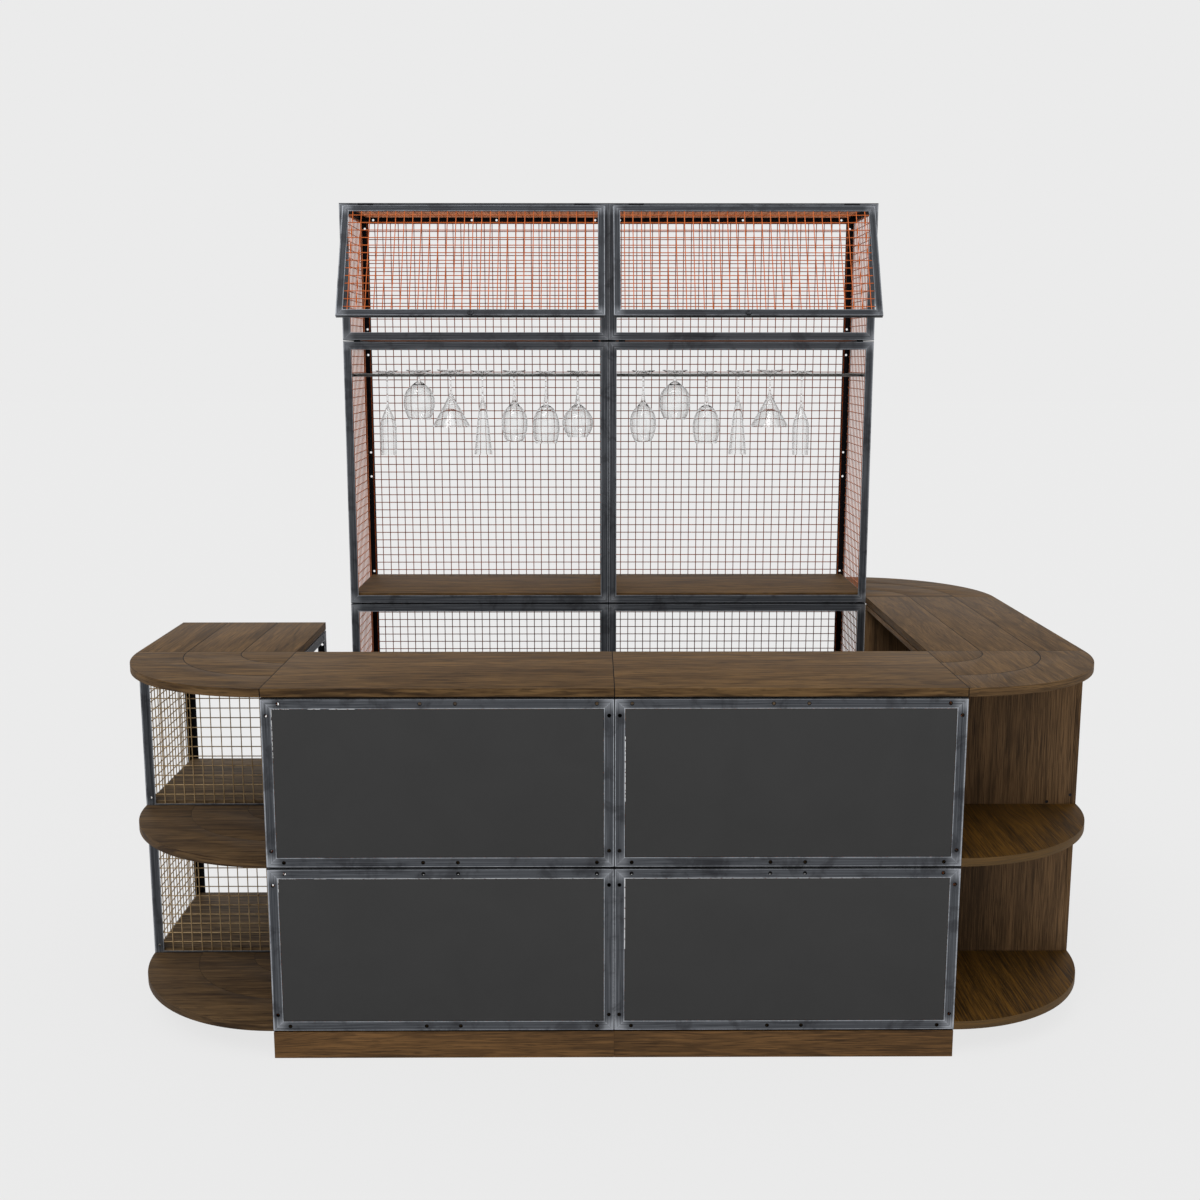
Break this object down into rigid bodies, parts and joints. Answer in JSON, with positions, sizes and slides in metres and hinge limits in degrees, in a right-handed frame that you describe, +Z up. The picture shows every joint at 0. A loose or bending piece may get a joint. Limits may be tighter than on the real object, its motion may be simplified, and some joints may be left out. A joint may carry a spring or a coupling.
{
  "type": "pop-up bar",
  "caption": "Modular pop-up bar of steel angle crates with wire mesh, wrap-round timber tops, rounded corner shelves, hinged mesh flaps and a glass rack.",
  "frame": {"origin": "on the floor, at the centre of the footprint", "axes": "+X along the bar, to the right of a guest who faces it; +Y to the back bar; +Z up"},
  "size_m": [3, 2.02, 2.599],
  "materials": {
    "steel": "raw rolled angle, oiled, bright at the edges",
    "copper_wire": "copper-coloured welded wire",
    "brass_wire": "brass-coloured welded wire",
    "panel": "matt charcoal powder coat",
    "dark_wood": "smoked oak, matt oil",
    "plinth_wood": "smoked oak boards, matt oil",
    "cabinet_wood": "smoked oak veneer, matt oil",
    "rubber": "black rubber",
    "rack_steel": "ground round bar",
    "hinge_steel": "weld-on hinge, raw",
    "fasteners": "blackened bolts and nuts",
    "glass": "clear drinking glass"
  },
  "bodies": {
    "bar": {"front_frame_lower_left": "steel", "front_frame_upper_left": "steel", "base_frame_lower_left": "steel", "base_frame_upper_left": "steel", "tall_frame_left": "steel", "top_frame_left": "steel", "front_frame_lower_right": "steel", "front_frame_upper_right": "steel", "base_frame_lower_right": "steel", "base_frame_upper_right": "steel", "tall_frame_right": "steel", "top_frame_right": "steel", "wing_frame_lower": "steel", "wing_frame_upper": "steel", "front_mesh": "copper_wire", "wing_mesh": "brass_wire", "rear_mesh": "copper_wire", "side_mesh": "copper_wire", "top_mesh": "copper_wire", "front_panel_lower_left": "panel", "front_panel_lower_right": "panel", "front_panel_upper_left": "panel", "front_panel_upper_right": "panel", "crate_floors": "dark_wood", "tall_shelves": "dark_wood", "plinth_front": "plinth_wood", "plinth_back": "plinth_wood", "plinth_left_wing": "plinth_wood", "plinth_right_wing": "plinth_wood", "cabinet_lower": "cabinet_wood", "cabinet_upper": "cabinet_wood", "counter_left": "dark_wood", "counter_right": "dark_wood", "corner_top_left": "dark_wood", "corner_shelves_left": "dark_wood", "corner_top_right_front": "dark_wood", "corner_shelves_right_front": "dark_wood", "corner_top_right_back": "dark_wood", "corner_shelves_right_back": "dark_wood", "wing_top_left": "dark_wood", "wing_top_right": "dark_wood", "stacking_buffers": "rubber", "rack_side_bars": "rack_steel", "rack_rods": "rack_steel", "hinge_fixed_leaves": "hinge_steel", "hinge_pins": "hinge_steel", "flute_glasses": "glass", "trumpet_glasses": "glass", "goblet_glasses": "glass", "martini_glasses": "glass", "brandy_glasses": "glass", "wine_glasses": "glass", "balloon_glasses": "glass", "joining_bolts": "fasteners"},
    "flap_left": {"flap_frame_left": "steel", "flap_mesh_left": "copper_wire", "flap_fittings_left": "hinge_steel"},
    "flap_right": {"flap_frame_right": "steel", "flap_mesh_right": "copper_wire", "flap_fittings_right": "hinge_steel"}
  },
  "joints": [
    {"name": "flap_left_hinge", "type": "hinge", "parent": "bar", "child": "flap_left", "pos_m": [-0.5, 0.497, 2.594], "axis": [-1, 0, 0], "range_deg": [-28, 62]},
    {"name": "flap_right_hinge", "type": "hinge", "parent": "bar", "child": "flap_right", "pos_m": [0.5, 0.497, 2.594], "axis": [-1, 0, 0], "range_deg": [-28, 62]}
  ]
}
